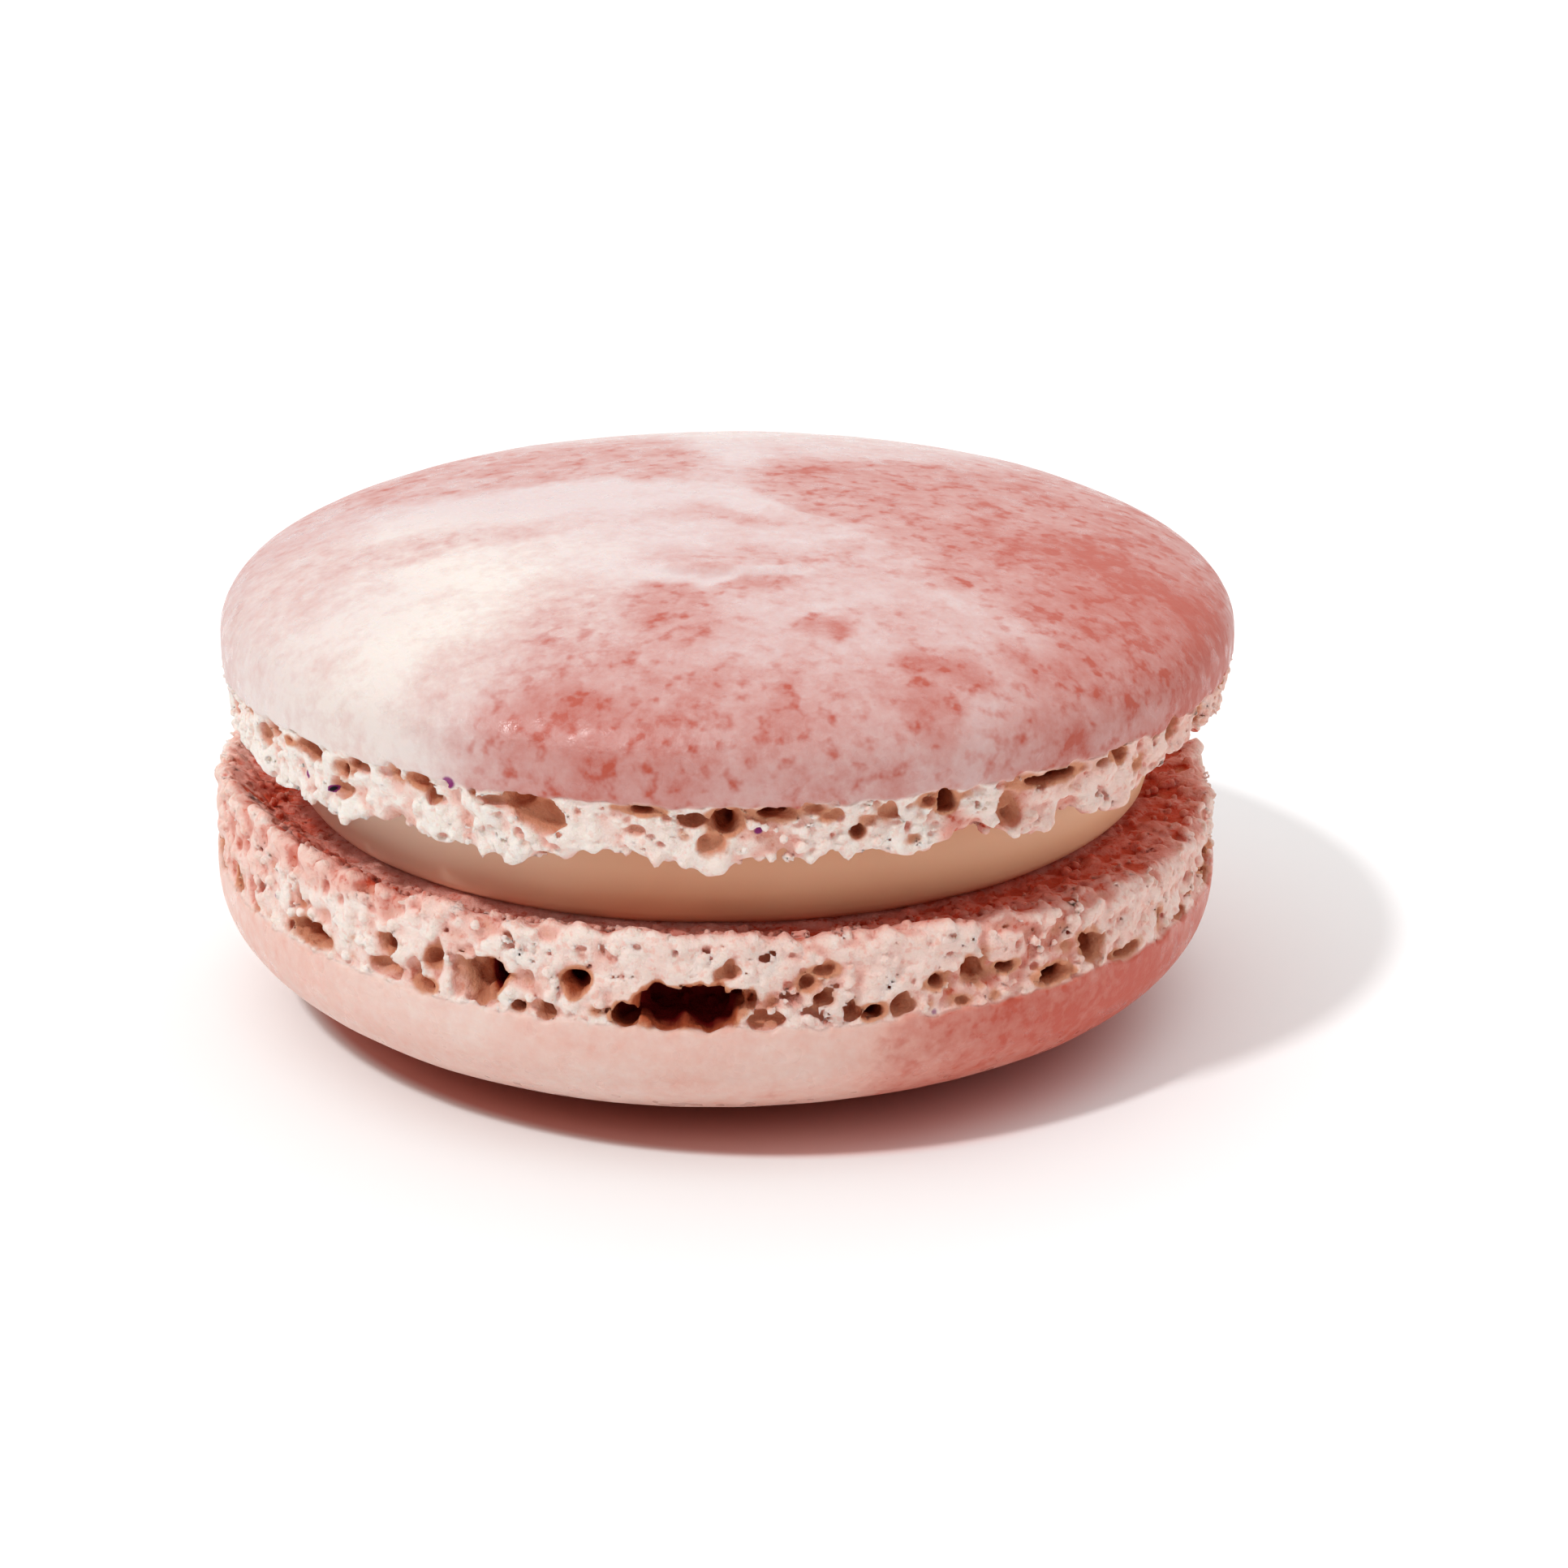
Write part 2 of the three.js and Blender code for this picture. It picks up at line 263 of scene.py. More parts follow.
def noise(x, y, z, size, seed):
    """Smooth noise from -1 to 1, with lumps about size across."""
    floors = []
    fades = []
    for value in (x, y, z):
        scaled = np.asarray(value, np.float32) / np.float32(size)
        low = np.floor(scaled)
        part = scaled - low
        floors.append(low.astype(np.int64))
        fades.append(part * part * (3 - 2 * part))
    i, j, k = floors
    u, v, w = fades
    total = 0
    for di in (0, 1):
        for dj in (0, 1):
            for dk in (0, 1):
                share = (u if di else 1 - u) * (v if dj else 1 - v) * (w if dk else 1 - w)
                total = total + share * lattice(i + di, j + dj, k + dk, seed)
    return total


def smoothstep(value):
    """0 below 0, 1 above 1 and a smooth rise between."""
    share = np.clip(value, 0, 1)
    return share * share * (3 - 2 * share)


def tilted(tilt, angle):
    """A level that rises towards one side, given as (rise, angle)."""
    return tilt[0] * np.cos(angle - math.radians(tilt[1]))


def outline(angle, seed):
    """The slow wobble of a shell's outline."""
    return sum(OUTLINE / n * 2 * np.sin(n * angle + seed * n * OUTLINE_TURN) for n in OUTLINE_WAVES)


def edge_level(shell, angle):
    """Level of the crust's edge all round."""
    x, y = shell["radius"] * np.cos(angle), shell["radius"] * np.sin(angle)
    ragged = sum(height * noise(x, y, 0 * x, size, EDGE_SEED) for size, height in EDGE_NOISE)
    return shell["crust_edge"] + tilted(shell["crust_edge_tilt"], angle) + ragged


def rim_level(shell, angle):
    """Level of the foot's ragged rim all round."""
    level = shell["foot"] + tilted(shell["foot_tilt"], angle)
    for centre, width, rise in shell["rim_steps"]:
        away = np.abs(np.degrees(angle) - centre) % 360
        away = np.minimum(away, 360 - away)
        level = level + rise * np.exp(-STEP_SHARPNESS * (away / width) ** 2)
    x, y = shell["rim_radius"] * np.cos(angle), shell["rim_radius"] * np.sin(angle)
    return level + sum(height * noise(x, y, 0 * x, size, RIM_SEED) for size, height in RIM_NOISE)


def dome_radius(shell, level):
    """Radius of the smooth crust at a level, which is the same all the way below its widest ring."""
    first, second = shell["roundness"]
    rise = np.clip(level / shell["crown"], 0, 1) ** second
    return shell["radius"] * (1 - rise) ** (1 / first)


def foot_section(shell, angle):
    """Radius and level of the foot's plain surface, in rows from under the cream to the crust."""
    edge = edge_level(shell, angle)[:, None]
    rim = rim_level(shell, angle)[:, None]
    one = np.ones_like(edge)
    dish = shell["foot"] + shell["dish_depth"]

    def rows(count):
        return (np.arange(count) / count)[None, :]

    share = rows(DISH_ROWS)
    radius = [one * (FIELD_START + (shell["dish_radius"] - FIELD_START) * share)]
    level = [one * dish + 0 * share]
    share = rows(LEDGE_ROWS)
    radius.append(one * (shell["dish_radius"] + (shell["rim_radius"] - shell["dish_radius"]) * share))
    level.append(dish + (rim - dish) * share**LEDGE_CURVE)
    share = rows(WALL_ROWS)
    wall = shell["rim_radius"] + CORNER
    radius.append(one * (wall + (shell["radius"] - shell["rim_radius"] - CORNER) * share))
    level.append(rim + CORNER + (edge - rim - CORNER) * share)
    share = (np.arange(CRUST_ROWS + 1) / CRUST_ROWS)[None, :]
    level.append(edge + (CRUST_TOP - edge) * share)
    radius.append(dome_radius(shell, level[-1]))
    radius = np.concatenate(radius, 1)
    level = np.concatenate(level, 1)
    for _ in range(SMOOTHINGS):
        for rows_of in (radius, level):
            rows_of[:, 1:-1] = (rows_of[:, :-2] + 2 * rows_of[:, 1:-1] + rows_of[:, 2:]) / 4
    spread = smoothstep((radius - shell["dish_radius"]) / (shell["rim_radius"] - shell["dish_radius"]))
    return radius + outline(angle, shell["seed"])[:, None] * spread, level


class Foam:
    """A shell's foot as a field round its axis, below 0 in the baked foam and above 0 in the air."""

    def __init__(self, shell):
        self.shell = shell
        angle = np.arange(STEPS_ROUND) * math.tau / STEPS_ROUND
        self.base_r, self.base_z = foot_section(shell, angle)
        layers = np.arange(INNER_LAYER, OUTER_LAYER, LAYER_STEP)
        self.r, self.z = self.place(self.base_r[..., None], self.base_z[..., None], layers)
        angle = angle[:, None, None]
        self.x = self.r * np.cos(angle)
        self.y = self.r * np.sin(angle)
        along_r = np.gradient(self.base_r, axis=1)
        along_z = np.gradient(self.base_z, axis=1)
        length = np.hypot(along_r, along_z)
        out_r = self.base_r - SPINE_RADIUS
        out_z = self.base_z - shell["spine_level"]
        reach = (out_r * along_z - out_z * along_r) / length
        self.depth = (1 - layers) * reach[..., None]
        # share of shade painted in the hollows, from 0 to 1
        self.dark = np.zeros_like(self.depth)
        self.foot = self.foot_share(angle, self.z)
        self.field = -self.depth

    def place(self, base_r, base_z, layer):
        """Radius and level on the way from the spine to the plain surface and beyond it."""
        level = self.shell["spine_level"]
        return SPINE_RADIUS + (base_r - SPINE_RADIUS) * layer, level + (base_z - level) * layer

    def foot_share(self, angle, z):
        """0 on the crust and 1 on the foot, with a ragged line between them."""
        radius = self.shell["radius"]
        x = radius * np.cos(angle)
        y = radius * np.sin(angle)
        size, height = LINE_NOISE
        line = edge_level(self.shell, angle) + height * noise(x, y, z, size, LINE_SEED)
        return smoothstep((line - z) / LINE_SOFTNESS)

    def lumps(self, sizes, seed):
        """Noise made of several sizes, each with its height. Strands of foam run upwards."""
        stretched = self.z / self.shell["strand"]
        first = SHELL_SEEDS * self.shell["seed"] + seed
        total = 0
        for number, (size, height) in enumerate(sizes):
            total = total + height * noise(self.x, self.y, stretched, size, first + number)
        return total

    def crumble(self):
        """Sets the foot back from the crust, roughens it and opens small pits in it."""
        rim_row = DISH_ROWS + LEDGE_ROWS
        rows = np.arange(self.base_r.shape[1])
        near_rim = np.exp(-(((rows - rim_row) / RIM_ROWS) ** 2))[None, :, None]
        fade = smoothstep((rows - 1) / FADE_ROWS)[None, :, None]
        relief = self.lumps(CRUMB_NOISE, 0)
        self.field += self.foot * fade * (INSET - relief * (1 + RIM_ROUGHNESS * near_rim))
        self.ragged = self.lumps(RAGGED_NOISE, RAGGED_SEED)
        height = np.clip((rows - rim_row) / WALL_ROWS, -1, 1)[None, :, None]
        level = self.shell["pit_level"] + PIT_SPREAD * np.abs(height - PIT_MIDDLE)
        level = level + 0.5 * (self.depth / self.shell["pit_depth"]) ** 2
        pits = PIT_SLOPE * (self.lumps(PIT_NOISE, PIT_SEED) - level)
        pits = np.where((self.foot > 0.5) & (height > PIT_START), pits, -1)
        self.field[:, :, 2:-2] = np.maximum(self.field, pits)[:, :, 2:-2]

    def distance(self, angle, r, z, sizes):
        """Steps near an angle, and how many of its sizes their points lie outside an ellipsoid there."""
        wide, deep, high = sizes
        near = (NEAR_SHARE * wide + NEAR_MARGIN) / self.shell["radius"]
        first = math.floor((angle - near) / math.tau * STEPS_ROUND)
        last = math.ceil((angle + near) / math.tau * STEPS_ROUND)
        steps = np.arange(first, last + 1)
        turn = steps * math.tau / STEPS_ROUND - angle
        steps = steps % STEPS_ROUND
        across = (turn * self.shell["radius"])[:, None, None] / wide
        inward = (self.r[steps] - r) / deep
        upward = (self.z[steps] - z) / high
        return steps, np.sqrt(across**2 + inward**2 + upward**2) - 1

    def add(self, angle, r, z, size):
        """Adds a round crumb."""
        steps, away = self.distance(angle, r, z, (size,) * 3)
        crumb = np.where(self.foot[steps] > 0.5, size * away, math.inf)
        self.field[steps] = np.minimum(self.field[steps], crumb)

    def carve(self, angle, r, z, sizes, ragged, dark=0.0):
        """Cuts a bubble, as ragged as told, and keeps how much shade is painted inside it."""
        steps, away = self.distance(angle, r, z, sizes)
        away = min(sizes) * (away + ragged * self.ragged[steps])
        self.field[steps, 2:-2] = np.maximum(self.field[steps, 2:-2], -away[:, 2:-2])
        reach, softness = HOLLOW_SHADE_REACH
        inside = smoothstep((reach - away) / softness)
        self.dark[steps] = np.maximum(self.dark[steps], dark * inside)

    def scatter(self, draws, count):
        """Random points of the foot's plain surface, each with the way out of it."""
        for _ in range(count):
            angle = draws.uniform(0, math.tau)
            row = draws.integers(DISH_ROWS - 1, DISH_ROWS + LEDGE_ROWS + WALL_ROWS)
            step = int(angle / math.tau * STEPS_ROUND) % STEPS_ROUND
            r = self.base_r[step, row]
            z = self.base_z[step, row]
            out = np.array([r - SPINE_RADIUS, z - self.shell["spine_level"]])
            yield angle, r, z, out / np.linalg.norm(out)

    def close(self):
        """Shuts the field's innermost and outermost layers."""
        self.field[:, :, :2] = np.minimum(self.field[:, :, :2], -SHUT)
        self.field[:, :, -1] = np.maximum(self.field[:, :, -1], SHUT)


def mostly_low(draws, limits, power):
    """A draw between two limits, nearer the lower one the higher the power is."""
    low, high = limits
    return low + (high - low) * draws.random() ** power


def bubbles_of(listed, draws):
    """The listed bubbles, and smaller ones spread under the crust's edge all round."""
    yield from listed
    angles = [bubble[0] for bubble in listed]
    first, last = min(angles) - MARGINS[0], max(angles) + MARGINS[1]
    for _ in range(BUBBLE_COUNT):
        angle = draws.uniform(-180, 180)
        under = mostly_low(draws, BUBBLE_UNDER, 2)
        wide = mostly_low(draws, BUBBLE_WIDTH, 3)
        high = wide * draws.uniform(*BUBBLE_HEIGHT)
        deep = wide * draws.uniform(*BUBBLE_REACH)
        dark = draws.uniform(*BUBBLE_HOLLOW_SHADE) * min(1, wide)
        if first < angle < last:
            wide, high, deep = (SHARE_AMONG_LISTED * size for size in (wide, high, deep))
        yield angle, under, wide, min(high, HIGHEST_BUBBLE), deep, dark


def bake_foot(shell, listed):
    """The whole field of a shell's foot."""
    draws = np.random.default_rng(shell["seed"])
    foam = Foam(shell)
    foam.crumble()
    for angle, r, z, out in foam.scatter(draws, CRUMB_COUNT):
        size = draws.uniform(*CRUMB_SIZE)
        sunk = INSET + draws.uniform(*CRUMB_SUNK)
        foam.add(angle, r - out[0] * sunk, z - out[1] * sunk, size)
    for angle, r, z, out in foam.scatter(draws, PORE_COUNT):
        size = mostly_low(draws, PORE_SIZE, 2)
        sunk = INSET + draws.uniform(*PORE_SUNK)
        sizes = size * np.array([draws.uniform(*PORE_WIDTH), PORE_REACH, draws.uniform(*PORE_HEIGHT)])
        foam.carve(angle, r - out[0] * sunk, z - out[1] * sunk, sizes, PORE_RAGGED)
    for degrees, under, wide, high, deep, dark in bubbles_of(listed, draws):
        angle = math.radians(degrees)
        level = shell["crust_edge"] + tilted(shell["crust_edge_tilt"], angle) - under
        r = shell["radius"] + outline(angle, shell["seed"]) - INSET
        sizes = (BUBBLE_HALF * wide, deep, BUBBLE_HALF * high)
        foam.carve(angle, r, level, sizes, BUBBLE_RAGGED / max(1, wide), dark)
    foam.close()
    return foam


def surface_net(field):
    """Vertices in grid places, quads, and the vertex of each cell, where the field crosses 0.
    The grid's first direction closes on itself."""
    round_count = field.shape[0]
    closed = np.concatenate([field, field[:1]])
    corners = [(a, b, c) for a in (0, 1) for b in (0, 1) for c in (0, 1)]
    size = tuple(n - 1 for n in closed.shape)

    def corner(values, offset):
        return values[tuple(slice(o, o + n) for o, n in zip(offset, size))]

    solid = closed < 0
    count = sum(corner(solid, offset).astype(np.int8) for offset in corners)
    active = (count > 0) & (count < len(corners))
    cells = np.argwhere(active)
    ids = np.full(size, -1)
    ids[active] = np.arange(len(cells))
    values = np.stack([corner(closed, offset)[active] for offset in corners], 1)
    total = np.zeros((len(cells), 3))
    crossings = np.zeros(len(cells))
    for p, start in enumerate(corners):
        for q, end in enumerate(corners):
            if q <= p or sum(abs(a - b) for a, b in zip(start, end)) != 1:
                continue
            crosses = (values[:, p] < 0) != (values[:, q] < 0)
            share = values[:, p] / np.where(crosses, values[:, p] - values[:, q], 1)
            point = np.array(start) + share[:, None] * (np.array(end) - np.array(start))
            total += np.where(crosses[:, None], point, 0)
            crossings += crosses
    places = cells + total / crossings[:, None]

    quads = []
    for axis in range(3):
        side, other = [(1, 2), (2, 0), (0, 1)][axis]
        after = np.roll(field, -1, axis)
        crosses = (field < 0) != (after < 0)
        for direction in (1, 2):
            ends = [slice(None)] * 3
            ends[direction] = 0 if direction != axis else slice(0, 0)
            crosses[tuple(ends)] = False
            ends[direction] = -1
            crosses[tuple(ends)] = False
        edges = np.argwhere(crosses)
        around = []
        for back_side, back_other in ((1, 1), (0, 1), (0, 0), (1, 0)):
            cell = edges.copy()
            cell[:, side] -= back_side
            cell[:, other] -= back_other
            cell[:, 0] %= round_count
            around.append(ids[tuple(cell.T)])
        quad = np.stack(around, 1)
        outward = field[tuple(edges.T)] < 0
        quads.append(np.where(outward[:, None], quad, quad[:, ::-1]))
    quads = np.concatenate(quads)
    return places, quads[(quads >= 0).all(1)], ids


def main_body(count, faces):
    """Which of the vertices belong to the largest connected body."""
    label = np.arange(count)
    start = faces.ravel()
    end = np.roll(faces, 1, 1).ravel()
    while True:
        low = np.minimum(label[start], label[end])
        new = label.copy()
        for side in (start, end):
            np.minimum.at(new, side, low)
            np.minimum.at(new, label[side], low)
        new = new[new]
        if (new == label).all():
            return label == np.bincount(label).argmax()
        label = new


def sample(grid, places):
    """Values of a grid at places between its points. Its first direction closes on itself."""
    low = np.floor(places).astype(int)
    part = places - low
    total = 0
    for corner in np.ndindex((2,) * grid.ndim):
        share = np.prod(np.where(corner, part, 1 - part), 1)
        index = low + corner
        index[:, 0] %= grid.shape[0]
        for direction in range(1, grid.ndim):
            index[:, direction] = np.clip(index[:, direction], 0, grid.shape[direction] - 1)
        total = total + share * grid[tuple(index.T)]
    return total


# Soft patches of colour, painted in this order: place across and along, half width and half
# height, tone, strength, and turn in degrees where it is turned. Tone 0 is creamy white, 0.5 pink
# and 1.2 the deepest red. On the upper crust the places are x and y in millimetres.
UPPER_CRUST_TONE = 0.42
UPPER_CRUST_PATCHES = [
    (12, 0, 13, 11, 0.62, 1),
    (-13, -9, 10, 10, 0.06, 1),
    (-7, -9, 6, 5, 0.08, 0.9),
    (2, 16, 13, 8, 0.12, 0.9),
    (-9, 6.5, 10, 5, 0.5, 1, 4),
    (-4, 4.5, 4, 3.5, 0.56, 0.7),
    (0.2, 9, 1.8, 9, 0.1, 1, -3),
    (5, 9, 5, 4, 0.2, 0.8, 20),
    (-7, -1.2, 8, 2.4, 0, 1, -4),
    (-13, -5.4, 4.4, 1.7, 0.36, 0.8, 6),
    (-8.5, -5, 3, 1.2, 0.34, 0.6),
    (-19, -2, 3, 7, 0.32, 0.8),
    (-16.5, -8, 3, 3, 0.24, 0.6),
    (11, 2.6, 9, 3.6, 0.84, 0.9, 6),
    (7.5, -1.4, 3.2, 3, 0.72, 0.7),
    (1.4, -3.4, 4, 0.9, 0.08, 0.9, -35),
    (3.6, -5, 2.4, 1, 0.4, 0.6, -10),
    (0.5, -6.8, 4.5, 1.3, 0.12, 0.8),
    (5.4, -7.6, 3.4, 1.3, 0.24, 0.7, -12),
    (-1, -18, 9.2, 7, 0.42, 1),
    (-1, -21.2, 8, 2.4, 0.64, 0.9),
    (0.2, -9.4, 2.9, 1.2, 0.4, 0.9),
    (-1.4, -11.2, 2.4, 0.5, 0.04, 0.9, -20),
    (1.8, -11, 2.6, 0.45, 0.05, 0.9, 28),
    (2.2, -11.9, 2.2, 0.5, 0.85, 0.8, 24),
    (-2, -12.6, 1.8, 1.2, 0.66, 0.6),
    (12.4, -5, 3, 2.6, 0.96, 0.8),
    (18.6, -7.4, 5, 6, 1.25, 1),
    (20, -1, 3.5, 5, 0.86, 0.8),
    (7.4, -11.4, 4.4, 1.8, 0.2, 0.8, 8),
    (10.5, -9, 2.6, 1.4, 0.66, 0.7, 20),
    (3.6, -15.8, 3, 2, 0.24, 0.7),
    (5.4, -19, 4, 1.6, 0.36, 0.6),
    (-1.6, -15.2, 2, 2.4, 0.7, 0.6),
    (-5, -17.4, 2, 1.6, 0.62, 0.5),
    (9, -17.5, 1.5, 1, 1.1, 0.9),
    (4.4, -15.6, 1.1, 0.8, 1, 0.8),
    (13.2, -15.4, 2.2, 1.3, 0.95, 0.8, 35),
    (15.6, -11.6, 4.4, 4.4, 0.95, 0.8),
    (10.5, -14, 3, 2, 0.34, 0.6),
    (8.6, -20.4, 3, 1.4, 0.44, 0.6),
    (15, -16.6, 4.4, 1.9, 0.86, 0.8, 45),
    (-4.9, -20.6, 1.3, 1, 1.1, 0.8),
    (-2.3, -21.2, 1.2, 0.9, 1, 0.8),
    (3, -21, 1, 1.1, 0.9, 0.8),
    (-5.8, -20.6, 3.4, 1.3, 0.9, 0.9, -10),
    (8.4, -19.8, 1.4, 1, 0.9, 0.8, 20),
    (0.4, -19.6, 1, 0.8, 0.8, 0.6),
    (-12.6, -18, 2.6, 2.6, 0.1, 0.9, -40),
    (-9.6, -17.6, 2.2, 1.8, 0.26, 0.8, -30),
]
# Where the same crust is yellowish cream, which is 1.
UPPER_CREAM_PATCHES = [
    (-13, -11, 9, 7, 1, 1, -50),
    (-17, -9, 4, 5, 0.4, 0.8),
    (2, 17, 12, 6, 0.5, 0.8),
]
# On the rest, the places are the angle, with the front at -90, and the height over the table.
UPPER_FOOT_TONE = -0.05
UPPER_FOOT_PATCHES = [
    (-84, 14, 26, 4, 0.1, 0.9),
    (-48, 14, 14, 4, 0.3, 0.9),
    (-22, 15, 18, 3, 0.5, 0.9),
    (60, 14, 60, 4, 0.3, 0.8),
    (-64, 14.4, 2.2, 0.8, 0.9, 0.9),
    (-98, 13.3, 3, 0.5, 0.5, 0.7),
    (-50, 15.6, 6, 0.6, 0.62, 0.7),
]
LOWER_CRUST_TONE = 0.32
LOWER_CRUST_PATCHES = [
    (-30, 4, 70, 18, 0.34, 1),
    (-24, 4, 52, 14, 0.66, 1),
    (-18, 4, 42, 10, 1.25, 1),
    (-57, 4.8, 12, 2.6, 1.15, 0.9),
    (-82, 4.6, 8, 3, 0.24, 0.7),
    (-65, 3.2, 6.5, 2.2, 0.92, 0.7),
    (-72, 4.4, 5, 1, 0.75, 0.4),
    (-62, 2.9, 9, 0.9, 0.7, 0.4),
    (0, 4, 26, 10, 0.85, 0.8),
    (60, 4, 46, 9, 0.5, 0.7),
    (-80, 2.4, 9, 1.8, 0.5, 0.5),
    (-120, 5.8, 7, 1.2, 0.16, 0.7),
    (-104, 3.5, 8, 1.2, 0.2, 0.6),
    (-148, 5.5, 12, 2.4, 0.42, 0.7),
    (-63, 2.2, 7, 1.6, 1, 0.8),
]
LOWER_FOOT_TONE = 0.08
LOWER_FOOT_PATCHES = [
    (-72, 8, 26, 4, 0.24, 1),
    (-46, 8, 24, 4, 0.34, 1),
    (-10, 8, 30, 5, 0.32, 0.9),
    # painted shade: a deeper tone on the ledge at the left, under the upper shell
    (-136, 10.5, 16, 0.7, 0.56, 0.9),
    (-82, 8.2, 3, 0.8, 0.5, 0.7),
    (-58, 7.2, 14, 0.4, 0.6, 0.6),
    (-164, 9, 14, 3, 0.42, 0.8),
    (-102, 7.9, 3, 0.8, 0.36, 0.7),
    (90, 8, 50, 4, 0.3, 0.7),
]


# Specks of colouring and one black one, by angle and height: 0.4 and 0.5 are purple and 1 is black.
UPPER_SPECKS = [
    (-118.5, 15.9, 0.8, 0.26, 0.5, 1),
    (-85.5, 14.9, 0.5, 0.16, 0.5, 1),
    (-141.5, 14.1, 0.4, 0.2, 0.5, 1),
    (-137, 13.9, 0.36, 0.13, 1, 1),
]
LOWER_SPECKS = [
    (-67, 6.6, 0.5, 0.16, 0.4, 0.8),
    (-147, 8.2, 0.5, 0.16, 0.4, 0.8),
]
PATCH_END = 1.6  # a patch ends this many of its half sizes out
PATCH_SOFTNESS = 1.2


def painted(across, along, first, patches):
    """Tone after all patches are painted over each other."""
    tone = np.full(np.shape(across), float(first))
    for u, v, wide, high, value, strength, *turn in patches:
        turned = math.radians(sum(turn))
        cosine, sine = math.cos(turned), math.sin(turned)
        du, dv = across - u, along - v
        away = np.hypot((du * cosine + dv * sine) / wide, (dv * cosine - du * sine) / high)
        tone = tone + (value - tone) * strength * smoothstep((PATCH_END - away) / PATCH_SOFTNESS)
    return tone


STRAY = [(5, 0.9), (2, 0.6), (1, 0.4)]  # size of the wobbles and how far they go
SECOND_WAY = 20  # added to the seed for the second direction
SKEW = np.array(mathutils.Euler((0.6, 0.5, 0.7)).to_matrix())  # keeps the wobbles off the axes
UPPER_TURN_STRAY, LOWER_TURN_STRAY = 2, 3  # degrees for each millimetre
FOOT_RISE_STRAY, CRUST_RISE_STRAY = 0.3, 0.6  # share of it that patches have in height


def wander(points, seed):
    """How far the patches' outlines stray, in millimetres, both ways."""
    turned = points @ SKEW
    return [
        sum(height * noise(*turned.T, size, number + size) for size, height in STRAY)
        for number in (seed, seed + SECOND_WAY)
    ]


def upper_tone(points, foot):
    """Painted traits of the upper shell at points in their place."""
    x, y, z = points.T
    across, along = wander(points, UPPER_STRAY_SEED)
    crust = painted(x + across, y + along, UPPER_CRUST_TONE, UPPER_CRUST_PATCHES)
    cream = painted(x + across, y + along, 0, UPPER_CREAM_PATCHES)
    angle = np.degrees(np.arctan2(y, x))
    turned = angle + UPPER_TURN_STRAY * across
    crumb = painted(turned, z + FOOT_RISE_STRAY * along, UPPER_FOOT_TONE, UPPER_FOOT_PATCHES)
    specks = painted(angle, z, 0, UPPER_SPECKS)
    return {"tone": crust + (crumb - crust) * foot, "cream": cream, "speck": specks}


def lower_tone(points, foot):
    """The same of the lower shell, whose crust isn't creamy."""
    x, y, z = points.T
    across, along = wander(points, LOWER_STRAY_SEED)
    angle = np.degrees(np.arctan2(y, x))
    turned = angle + LOWER_TURN_STRAY * across
    crust = painted(turned, z + CRUST_RISE_STRAY * along, LOWER_CRUST_TONE, LOWER_CRUST_PATCHES)
    crumb = painted(turned, z + FOOT_RISE_STRAY * along, LOWER_FOOT_TONE, LOWER_FOOT_PATCHES)
    specks = painted(angle, z, 0, LOWER_SPECKS)
    return {"tone": crust + (crumb - crust) * foot, "cream": 0 * foot, "speck": specks}


class Builder:
    """Gathers the points, faces and traits of one closed mesh."""

    def __init__(self, traits):
        self.traits = {name: [] for name in traits}
        self.points = []
        self.faces = []
        self.count = 0

    def add_points(self, r, angle, z, **traits):
        """Adds points given round the axis, and returns their numbers."""
        r, angle, z = np.broadcast_arrays(r, angle, z)
        self.points.append(np.stack([r * np.cos(angle), r * np.sin(angle), z], -1))
        for name, values in self.traits.items():
            values.append(np.broadcast_to(traits.get(name, 0.0), r.shape))
        first = self.count
        self.count += len(r)
        return np.arange(first, self.count)

    def add_faces(self, faces, upwards=True):
        self.faces += (faces if upwards else faces[:, ::-1]).tolist()

    def join(self, outer, inner, upwards):
        """Joins a ring to the next one inwards, which has as many points or half as many."""
        inner_next = np.roll(inner, -1)
        if len(inner) == len(outer):
            bands = [(outer, np.roll(outer, -1), inner_next, inner)]
        else:
            even, odd = outer[::2], outer[1::2]
            bands = [(even, odd, inner), (odd, inner_next, inner), (odd, np.roll(even, -1), inner_next)]
        for band in bands:
            self.add_faces(np.stack(band, 1), upwards)

    def close(self, ring, point, upwards):
        """Closes a ring with a fan round one point."""
        fan = [ring, np.roll(ring, -1), np.full(len(ring), point[0])]
        self.add_faces(np.stack(fan, 1), upwards)


DOME_STEP = 0.36  # between the rings of the dome
FINEST_STEP = 0.18  # a ring whose points would lie closer than this has half as many
CURVE_POINTS = 500
UNDERSIDE_RINGS = (15.5, 11.0, 6.0)
DENTS = [(5.0, 0.05), (1.4, 0.018)]  # size and depth of the crust's unevenness
CRUST_THICKNESS = 0.15
THICKNESS_SOFTNESS = 0.15


def dome_levels(shell):
    """Radius and level of the dome's rings, evenly spaced along its curve."""
    turn = np.linspace(0, math.pi / 2, CURVE_POINTS)
    r = shell["radius"] * np.abs(np.cos(turn)) ** (2 / shell["roundness"][0])
    z = shell["crown"] * np.sin(turn) ** (2 / shell["roundness"][1])
    length = np.concatenate([[0], np.cumsum(np.hypot(np.diff(r), np.diff(z)))])
    count = round(length[-1] / DOME_STEP)
    places = np.linspace(np.interp(CRUST_TOP + DOME_STEP / 2, z, length), length[-1], count + 1)[:-1]
    return np.interp(places, length, r), np.interp(places, length, z)


